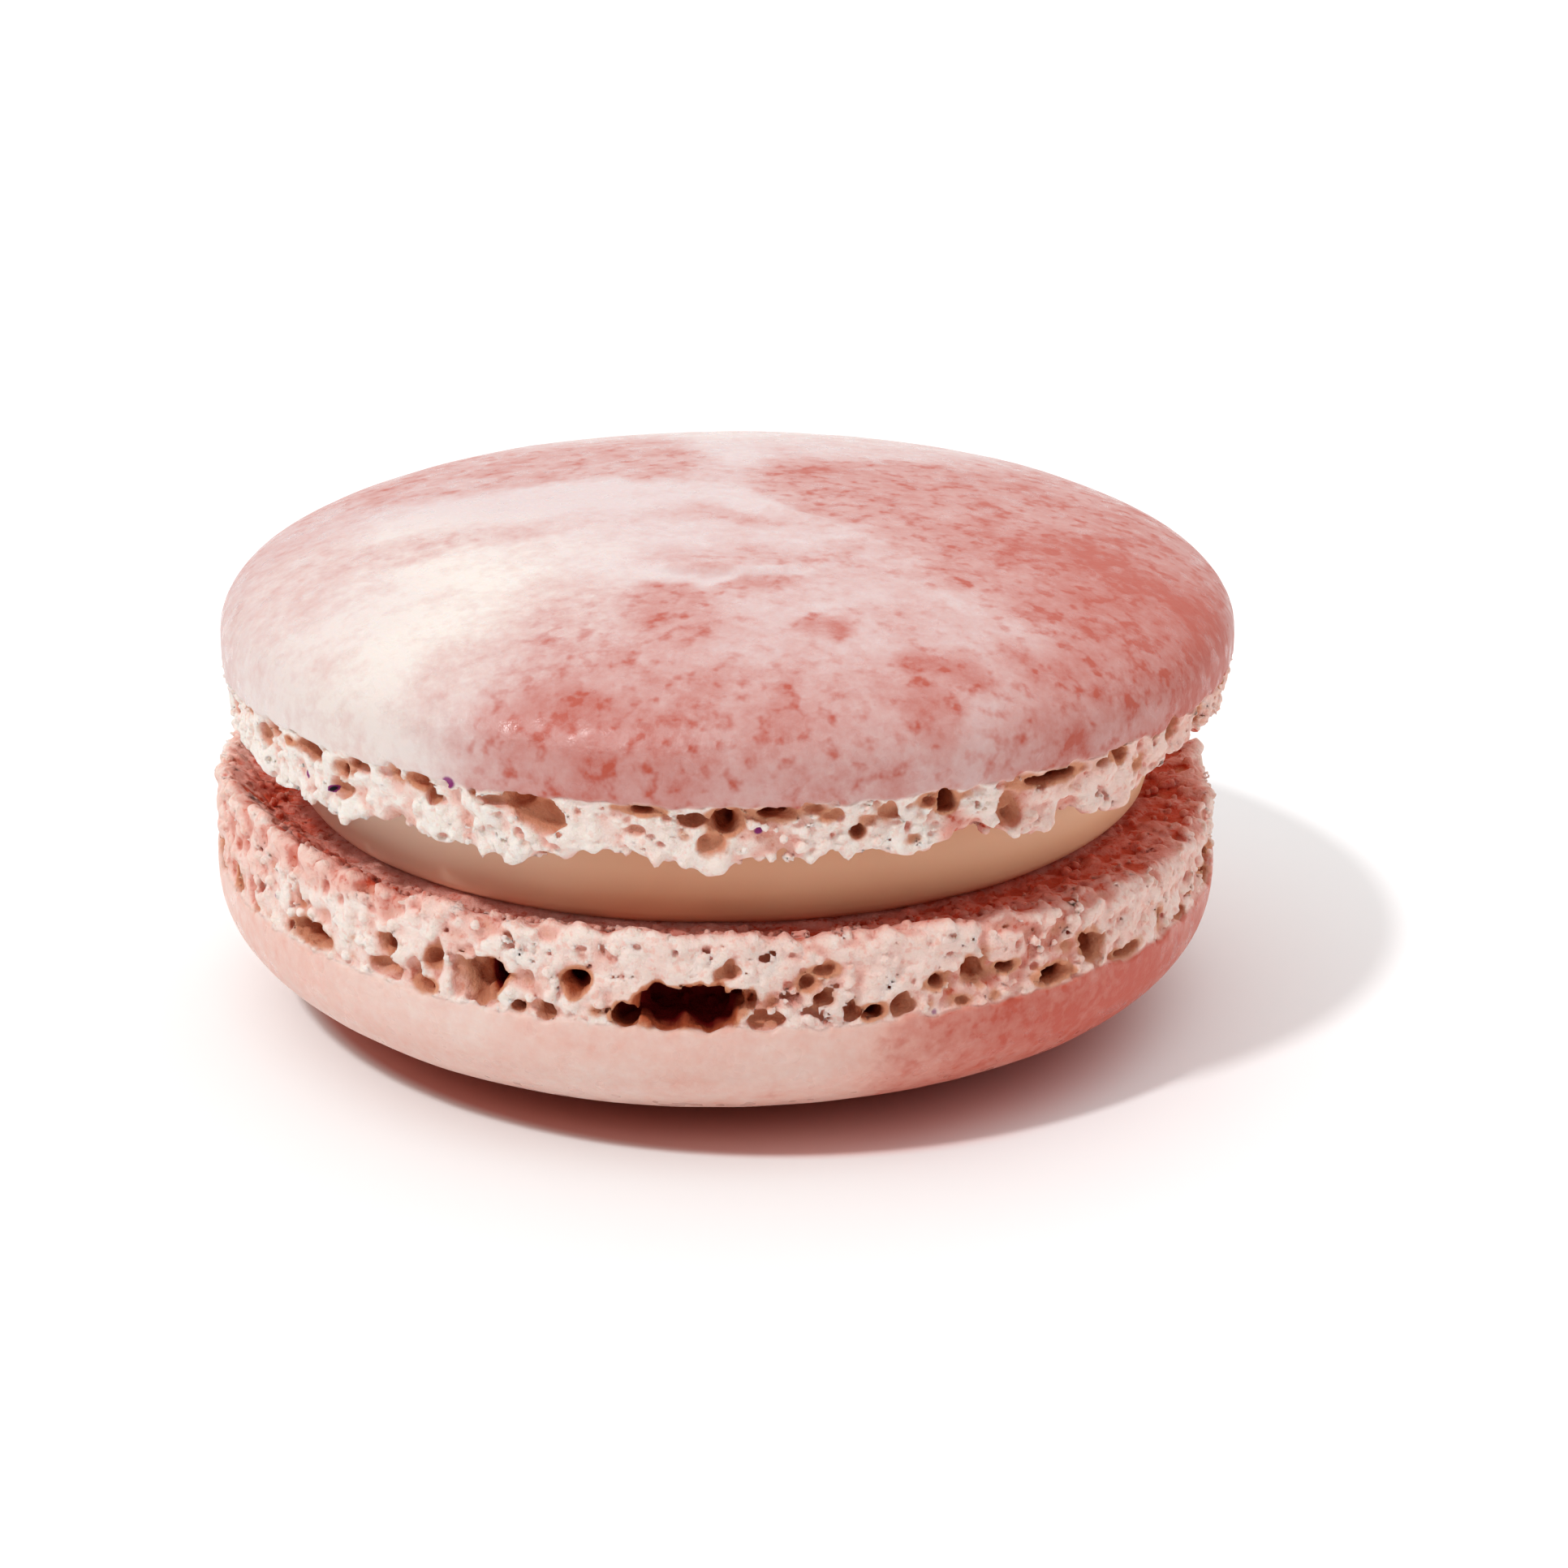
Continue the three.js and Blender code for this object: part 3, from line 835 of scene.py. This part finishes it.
def shell_points(shell, listed, relief):
    """One whole shell in its own frame. relief gives the height of the crust's own features."""
    foam = bake_foot(shell, listed)
    places, quads, ids = surface_net(foam.field)
    keep = main_body(len(places), quads)
    quads = quads[keep[quads].all(1)]
    number = np.cumsum(keep) - 1
    places = places[keep]

    angle = places[:, 0] * math.tau / STEPS_ROUND
    base_r = sample(foam.base_r, places[:, :2])
    base_z = sample(foam.base_z, places[:, :2])
    r, z = foam.place(base_r, base_z, INNER_LAYER + places[:, 2] * LAYER_STEP)
    sunk = sample(foam.depth, places)
    builder = Builder(["foot", "sunk", "ledge", "dark"])
    under_crust = smoothstep((sunk - CRUST_THICKNESS) / THICKNESS_SOFTNESS)
    builder.add_points(
        r,
        angle,
        z,
        foot=np.maximum(foam.foot_share(angle, z), under_crust),
        sunk=sunk,
        ledge=np.clip((DISH_ROWS + LEDGE_ROWS - places[:, 1]) / LEDGE_ROWS, 0, 1),
        dark=sample(foam.dark, places),
    )
    builder.add_faces(number[quads])

    crust_ring = number[ids[:, -1].max(1)]
    dish_ring = number[ids[:, 0].max(1)]
    turn = (np.arange(STEPS_ROUND) + 0.5) * math.tau / STEPS_ROUND

    ring, angles = crust_ring, turn
    for r, z in zip(*dome_levels(shell)):
        if math.tau * r / len(angles) < FINEST_STEP:
            angles = angles[::2]
        share = r / shell["radius"]
        x, y = r * np.cos(angles), r * np.sin(angles)
        height = sum(depth * noise(x, y, 0 * x + z, size, DENT_SEED) for size, depth in DENTS) * share
        level = np.minimum(z + height, shell["rest_height"]) + relief(x, y)
        inner = builder.add_points(r + outline(angles, shell["seed"]) * share, angles, level)
        builder.join(ring, inner, True)
        ring = inner
    builder.close(ring, builder.add_points([0], [0], [level.mean()]), True)

    ring, angles = dish_ring, turn
    dish = shell["foot"] + shell["dish_depth"]
    for r in UNDERSIDE_RINGS:
        angles = angles[::2]
        inner = builder.add_points(r, angles, dish, ledge=1.0, foot=1.0)
        builder.join(ring, inner, False)
        ring = inner
    builder.close(ring, builder.add_points([0], [0], [dish], ledge=1.0, foot=1.0), False)
    return builder


def new_object(name, data):
    """An object in the scene."""
    body = bpy.data.objects.new(name, data)
    bpy.context.scene.collection.objects.link(body)
    return body


def make_mesh(name, points, faces, traits):
    """A piece with smooth faces, from points in millimetres and in place."""
    mesh = bpy.data.meshes.new(name)
    mesh.from_pydata((points * MM).tolist(), [], faces)
    for trait, values in traits.items():
        layer = mesh.attributes.new(trait, "FLOAT", "POINT")
        layer.data.foreach_set("value", np.asarray(values, np.float32))
    mesh.shade_smooth()
    return new_object(name, mesh)


MIX_INPUTS = (0, 6, 7)  # the share and two colours of a node that mixes colours
MIX_OUTPUT = 2


def metres(limits):
    """Millimetres as metres."""
    return [limit * MM for limit in limits]


class Look:
    """The nodes of one material."""

    def __init__(self, name):
        self.material = bpy.data.materials.new(name)
        self.material.use_nodes = True
        self.tree = self.material.node_tree
        self.shader = self.tree.nodes["Principled BSDF"]
        self.place = self.add("ShaderNodeTexCoord").outputs["Object"]

    def add(self, kind, inputs=(), **settings):
        """A new node, with values or other nodes' outputs put in."""
        node = self.tree.nodes.new(kind)
        for name, value in settings.items():
            setattr(node, name, value)
        for name, value in dict(inputs).items():
            self.put(node.inputs[name], value)
        return node

    def put(self, socket, value):
        """Puts a value or another node's output into a socket."""
        if isinstance(value, bpy.types.NodeSocket):
            self.tree.links.new(value, socket)
        else:
            socket.default_value = value

    def trait(self, name):
        return self.add("ShaderNodeAttribute", attribute_name=name).outputs["Fac"]

    def grain(self, size, detail=2.0, rough=0.5):
        """Noise from 0 to 1, with lumps of this size in millimetres."""
        inputs = {"Vector": self.place, "Scale": 1 / (size * MM), "Detail": detail, "Roughness": rough}
        return self.add("ShaderNodeTexNoise", inputs).outputs["Fac"]

    def between(self, value, low, high, bottom=0.0, top=1.0, kind="SMOOTHSTEP"):
        """A rise from bottom to top, while the value goes from low to high."""
        inputs = {"Value": value, "From Min": low, "From Max": high, "To Min": bottom, "To Max": top}
        return self.add("ShaderNodeMapRange", inputs, interpolation_type=kind).outputs["Result"]

    def maths(self, operation, values):
        result = values[0]
        for value in values[1:]:
            result = self.add("ShaderNodeMath", {0: result, 1: value}, operation=operation).outputs[0]
        return result

    def times(self, *values):
        return self.maths("MULTIPLY", values)

    def plus(self, *values):
        return self.maths("ADD", values)

    def mix(self, share, first, second):
        """The first colour where share is 0 and the second where it is 1."""
        node = self.add("ShaderNodeMix", data_type="RGBA")
        for index, value in zip(MIX_INPUTS, (share, first, second)):
            self.put(node.inputs[index], (*value, 1) if isinstance(value, tuple) else value)
        return node.outputs[MIX_OUTPUT]

    def set(self, **inputs):
        """Puts values or outputs into the shader, under its sockets' names with _ for a space."""
        for name, value in inputs.items():
            self.put(self.shader.inputs[name.replace("_", " ")], value)

    def bump(self, height, distance):
        """Relief too fine for the mesh: height times distance, in millimetres."""
        inputs = {"Height": height, "Distance": distance * MM, "Strength": 1.0}
        self.set(Normal=self.add("ShaderNodeBump", inputs).outputs["Normal"])


UPPER_TONES = [(0.71, 0.565, 0.55), (0.61, 0.32, 0.29), (0.48, 0.075, 0.04)]
LOWER_TONES = [(0.84, 0.67, 0.60), (0.79, 0.44, 0.36), (0.545, 0.075, 0.035)]
CREAMY = (0.82, 0.73, 0.67)
CRUMB_TONES = [(0.94, 0.85, 0.78), (0.88, 0.54, 0.46), (0.60, 0.08, 0.035)]
# Painted shade in the crumb's hollows, from shallow to deepest.
SHALLOW_HOLLOW_SHADE = (0.68, 0.30, 0.18)
DEEP_HOLLOW_SHADE = (0.42, 0.09, 0.035)
DEEPEST_HOLLOW_SHADE = (0.11, 0.004, 0.004)
PURPLE = (0.25, 0.03, 0.16)
BLACK = (0.01, 0.008, 0.01)


def three_tones(look, tone, colours):
    """Colour for a tone, which is palest at 0 and deepest at 1.2."""
    low, middle, high = colours
    lower = look.mix(look.between(tone, -0.05, 0.5, kind="LINEAR"), low, middle)
    return look.mix(look.between(tone, 0.5, 1.2, kind="LINEAR"), lower, high)


def centred(look, size, height, detail=2.0, rough=0.5):
    """Noise round 0, for adding to a trait."""
    return look.times(look.plus(look.grain(size, detail, rough), -0.5), height)


def shell_look(name, tones, flecked):
    """Baked almond shell: a marbled crust with flecks, and a matt crumb with shade painted into its
    hollows.
    """
    look = Look(name)
    sunk = look.trait("sunk")
    foot = look.trait("foot")
    tone = look.trait("tone")

    spots = look.between(look.grain(2.2, detail=6, rough=0.65), 0.44, 0.78, top=0.5)
    flecks = look.between(look.grain(0.7), 0.48, 0.82, top=0.7)
    flecks = look.times(look.plus(spots, flecks), look.between(tone, 0.1, 0.6), flecked)
    marbling = look.plus(centred(look, 3.0, height=1.0, detail=8, rough=0.75), -0.1)
    mottle = look.times(marbling, 0.4 + 0.6 * flecked)
    mottle = look.plus(mottle, centred(look, 0.5, height=0.35, detail=3))
    pale = look.mix(look.trait("cream"), tones[0], CREAMY)
    crust = three_tones(look, look.plus(tone, mottle, flecks), (pale, *tones[1:]))

    # The ledge's tone deepens from the rim towards the cream, and a little towards the right: partly the
    # crumb's own salmon colour, partly painted shade under the upper shell and the cream.
    ledge = look.trait("ledge")
    rim = look.between(ledge, 0, 0.12, top=0.42)
    ledge = look.plus(rim, look.between(ledge, 0.1, 0.6, top=0.25))
    across = look.add("ShaderNodeSeparateXYZ", {0: look.place}).outputs["X"]
    ledge = look.times(ledge, look.between(across, -12 * MM, 12 * MM, bottom=1, top=1.1))
    # Painted shade of tiny pits: noise spots where the crumb's tone is deeper.
    pores = look.between(look.grain(0.32), 0.54, 0.7, top=0.25)
    # Painted shade: the crumb's tone deepens where its surface lies sunk between the lumps.
    valley_shade = look.between(sunk, 0.14, 0.36, top=0.5)
    lumps = look.plus(centred(look, 1.6, height=0.42), centred(look, 0.35, height=0.3))
    crumb = three_tones(look, look.plus(tone, lumps, ledge, pores, valley_shade), CRUMB_TONES)
    # Painted shade: the crumb turns tan, then brown, then almost black, the deeper it lies and the more
    # shade its bubble was given.
    torn = centred(look, 0.6, height=0.7, detail=4)
    deep = look.plus(sunk, torn, look.times(look.trait("dark"), 1.4))
    crumb = look.mix(look.between(deep, 0.25, 0.85), crumb, SHALLOW_HOLLOW_SHADE)
    crumb = look.mix(look.between(deep, 0.85, 1.7), crumb, DEEP_HOLLOW_SHADE)
    crumb = look.mix(look.between(deep, 1.5, 2.4), crumb, DEEPEST_HOLLOW_SHADE)

    surface = look.mix(foot, crust, crumb)
    speck = look.trait("speck")
    surface = look.mix(look.between(speck, 0.15, 0.4), surface, PURPLE)
    look.set(Base_Color=look.mix(look.between(speck, 0.6, 0.9), surface, BLACK))
    crust_gloss = look.between(look.grain(0.9, detail=1), 0.5, 0.68, bottom=0.46, top=0.25)
    look.set(Roughness=look.plus(crust_gloss, look.times(foot, 0.4)))
    shine = look.between(foot, 0, 1, bottom=0.5, top=0.2)
    shine = look.times(shine, look.between(deep, 0.3, 1, bottom=1, top=0.05))
    look.set(Specular_IOR_Level=shine)
    look.set(Subsurface_Weight=0.25, Subsurface_Radius=(0.9, 0.45, 0.3), Subsurface_Scale=MM)
    fine = look.grain(0.35, detail=4, rough=0.6)
    fine = look.times(fine, look.between(foot, 0, 1, bottom=0.14, top=0.75))
    look.bump(look.plus(fine, look.times(look.grain(0.8), 0.2)), distance=0.26)
    return look.material


# Features that stand up from the crusts: ridges from one point to another, with height and width,
# and one lifted flake.
RIDGES = [
    (-0.6, -1.9, 1.8, -2.8, 0.09, 0.45),
    (1.8, -2.8, 4, -4.5, 0.1, 0.45),
    (3.4, -6.6, 6.2, -7.9, 0.08, 0.4),
    (-4.4, -10.2, -2.6, -10.9, 0.07, 0.4),
    (3.2, -10.4, 4.6, -8.6, 0.09, 0.4),
]
FLAKE_PLACE = (0.1, -9.6)
FLAKE_HALF_SIZE = (3.1, 1.6)
FLAKE_HEIGHT = 0.22
FLAKE_EDGE = 0.15  # width of its steep edge as a share of its size
FLAKE_FRONT, FLAKE_SLOPE = 0.6, 1.4  # it lifts towards the front from here, and how slowly
RELIEF_STRAY = 0.3  # share of the patches' straying that they have


def upper_relief(x, y):
    """Height of the ridges and the flake of the upper crust, whose lip faces the front."""
    across, along = wander(np.stack([x, y, 0 * x], -1), RELIEF_STRAY_SEED)
    x, y = x + RELIEF_STRAY * across, y + RELIEF_STRAY * along
    height = 0 * x
    for x0, y0, x1, y1, rise, width in RIDGES:
        dx, dy = x1 - x0, y1 - y0
        share = np.clip(((x - x0) * dx + (y - y0) * dy) / (dx * dx + dy * dy), 0, 1)
        away = np.hypot(x - x0 - share * dx, y - y0 - share * dy)
        height = np.maximum(height, rise * smoothstep(1 - away / width))
    du = (x - FLAKE_PLACE[0]) / FLAKE_HALF_SIZE[0]
    dv = (y - FLAKE_PLACE[1]) / FLAKE_HALF_SIZE[1]
    lift = smoothstep((FLAKE_FRONT - dv) / FLAKE_SLOPE)
    inside = smoothstep((1 - np.hypot(du, dv)) / FLAKE_EDGE)
    return np.maximum(height, FLAKE_HEIGHT * lift * inside)


def lower_relief(x, y):
    """The lower crust is plain."""
    return 0 * x


def make_shell(name, shell, listed, relief, place, tone, colours, flecked, node):
    """Builds a shell, puts it in its place, hangs it on the root body and hides the solid it stands for.
    """
    builder = shell_points(shell, listed, relief)
    points = place(np.concatenate(builder.points))
    points[:, 2] = np.maximum(points[:, 2], 0)
    traits = {trait: np.concatenate(values) for trait, values in builder.traits.items()}
    traits.update(tone(points, traits["foot"]))
    piece = make_mesh(name, points, builder.faces, traits)
    piece.data.materials.append(shell_look(name + "_look", colours, flecked))
    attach(piece, "root")
    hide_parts(node)


def place_upper(points):
    return points + (SHIFT, 0, UPPER_LEVEL)


def place_lower(points):
    return points * (1, -1, -1) + (-SHIFT, 0, LOWER["rest_height"])


CREAM_LOW = 9.5
CREAM_HIGH = 13.9
CREAM_RADII = (18.3, 18.9, 19.2, 19.28, 19.1, 18.6)
CREAM_HEIGHTS = (0, 0.1, 0.35, 0.6, 0.85, 1)  # shares of the way up at which it has them
CREAM_STEPS = 256
CREAM_RINGS = 15
CREAM_WOBBLE = (3.0, 0.05)  # size and height of the unevenness of its side
CREAM_COLOUR = (0.89, 0.51, 0.3)
PAINTED_LIGHT_CREAM = (0.95, 0.74, 0.57)  # painted light: paler at the left end, where the main light reaches it
CREAM_CHANGE = (-17, -2)  # from the left, the places between which its colour changes


def make_cream():
    """The disc of cream, with a softly bulging side."""
    shares = np.linspace(0, 1, CREAM_RINGS)
    radii = np.interp(shares, CREAM_HEIGHTS, CREAM_RADII)
    angles = np.arange(CREAM_STEPS) * math.tau / CREAM_STEPS
    builder = Builder([])
    low_middle = builder.add_points([0], [0], [CREAM_LOW])
    rings = []
    for r, share in zip(radii, shares):
        z = CREAM_LOW + (CREAM_HIGH - CREAM_LOW) * share
        size, height = CREAM_WOBBLE
        r = r + height * noise(r * np.cos(angles), r * np.sin(angles), 0 * angles + z, size, CREAM_SEED)
        rings.append(builder.add_points(r, angles, z))
    high_middle = builder.add_points([0], [0], [CREAM_HIGH])
    builder.close(rings[0], low_middle, False)
    for low, high in zip(rings, rings[1:]):
        builder.join(low, high, True)
    builder.close(rings[-1], high_middle, True)
    piece = make_mesh("cream_disc", np.concatenate(builder.points), builder.faces, {})
    look = Look("cream_look")
    across = look.add("ShaderNodeSeparateXYZ", {0: look.place}).outputs["X"]
    # Painted light: the cream is paler towards its left end.
    painted_light_share = look.between(across, *metres(CREAM_CHANGE))
    look.set(Base_Color=look.mix(painted_light_share, PAINTED_LIGHT_CREAM, CREAM_COLOUR))
    look.set(Roughness=0.45)
    look.set(Subsurface_Weight=0.3, Subsurface_Radius=(1.5, 0.8, 0.5), Subsurface_Scale=MM)
    piece.data.materials.append(look.material)
    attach(piece, "root")
    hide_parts("filling")


KEY_DIRECTION = (-0.449, -0.367, 0.816)  # towards the main light
KEY_ANGLE = 5  # how wide the main light looks from the object, in degrees
KEY_STRENGTH = 1.35
SKY_LOW = 0.3  # brightness of the sky away from its bright part
SKY_GAIN = 0.97  # how much brighter it is there
SKY_DIRECTION = (0.12, 0.45, 0.88)  # towards that part
FLOOR_HALF = 6.0  # metres
FLOOR_COLOUR = (0.95, 0.95, 0.95)
UNDER_SHADE = (0.62, 0.2, 0.15)  # painted shadow under the shell, warmed as by light that falls back from it
OUTER_SHADE = (0.82, 0.53, 0.5)
# the painted shadow's warm colour fades out away from here
GLOW_CENTRE = (-2.5, -2.5)
GLOW_CHANGE = (13, 20)  # distances over which it turns to its outer colour
GLOW_END = (18, 23)  # and over which it ends
SHADE_CENTRE = (3.3, 2.8)  # of the shadow, which keeps the warm colour inside its edge
SHADE_EDGE = (22.6, 23.5)


def make_stage():
    """A white floor with a warm shadow painted round the macaron, a main light from the front left and a
    white sky, brighter above and behind.
    """
    corners = [(FLOOR_HALF * x, FLOOR_HALF * y, 0) for x, y in ((-1, -1), (1, -1), (1, 1), (-1, 1))]
    mesh = bpy.data.meshes.new("floor")
    mesh.from_pydata(corners, [], [(0, 1, 2, 3)])
    floor = new_object("floor", mesh)
    look = Look("floor_look")

    def away_from(x, y):
        inputs = {0: look.place, 1: (x * MM, y * MM, 0)}
        return look.add("ShaderNodeVectorMath", inputs, operation="DISTANCE").outputs["Value"]

    # Painted shadow on the floor round the macaron.
    glow = away_from(*GLOW_CENTRE)
    shade = look.mix(look.between(glow, *metres(GLOW_CHANGE)), UNDER_SHADE, OUTER_SHADE)
    shade = look.mix(look.between(glow, *metres(GLOW_END)), shade, FLOOR_COLOUR)
    edge = look.between(away_from(*SHADE_CENTRE), *metres(SHADE_EDGE))
    look.set(Base_Color=look.mix(edge, shade, FLOOR_COLOUR), Roughness=0.9)
    mesh.materials.append(look.material)

    light = bpy.data.lights.new("key_light", "SUN")
    light.angle = math.radians(KEY_ANGLE)
    light.energy = KEY_STRENGTH
    key = new_object("key_light", light)
    key.rotation_euler = mathutils.Vector(KEY_DIRECTION).to_track_quat("Z", "Y").to_euler()

    world = bpy.data.worlds.new("sky")
    bpy.context.scene.world = world
    world.use_nodes = True
    nodes = world.node_tree.nodes
    links = world.node_tree.links
    direction = nodes.new("ShaderNodeTexCoord")
    facing = nodes.new("ShaderNodeVectorMath")
    facing.operation = "DOT_PRODUCT"
    facing.inputs[1].default_value = mathutils.Vector(SKY_DIRECTION).normalized()
    bright = nodes.new("ShaderNodeMapRange")
    bright.inputs["To Min"].default_value = SKY_LOW
    bright.inputs["To Max"].default_value = SKY_LOW + SKY_GAIN
    nodes["Background"].inputs["Color"].default_value = (1, 1, 1, 1)
    links.new(direction.outputs["Generated"], facing.inputs[0])
    links.new(facing.outputs["Value"], bright.inputs["Value"])
    links.new(bright.outputs["Result"], nodes["Background"].inputs["Strength"])
    bpy.context.scene.view_settings.view_transform = "Standard"


CAMERA_AIM = (2.72, 0.0, 8.711)
CAMERA_DISTANCE = 155.024
CAMERA_PITCH = 0.353  # radians down from level
CAMERA_LENS = 78.38


def make_camera():
    """The photograph's view: along +Y and down."""
    camera = bpy.data.cameras.new("camera")
    camera.lens = CAMERA_LENS
    camera.clip_start = 0.01
    body = new_object("camera", camera)
    back = (0, -math.cos(CAMERA_PITCH), math.sin(CAMERA_PITCH))
    body.location = [(aim + CAMERA_DISTANCE * way) * MM for aim, way in zip(CAMERA_AIM, back)]
    body.rotation_euler = (math.pi / 2 - CAMERA_PITCH, 0, 0)
    bpy.context.scene.camera = body


make_camera()
make_stage()
make_shell(
    "baked_top_shell", UPPER, UPPER_BUBBLES, upper_relief, place_upper, upper_tone, UPPER_TONES,
    flecked=1.0, node="top_shell",
)
make_shell(
    "baked_bottom_shell", LOWER, LOWER_BUBBLES, lower_relief, place_lower, lower_tone, LOWER_TONES,
    flecked=0.4, node="bottom_shell",
)
make_cream()
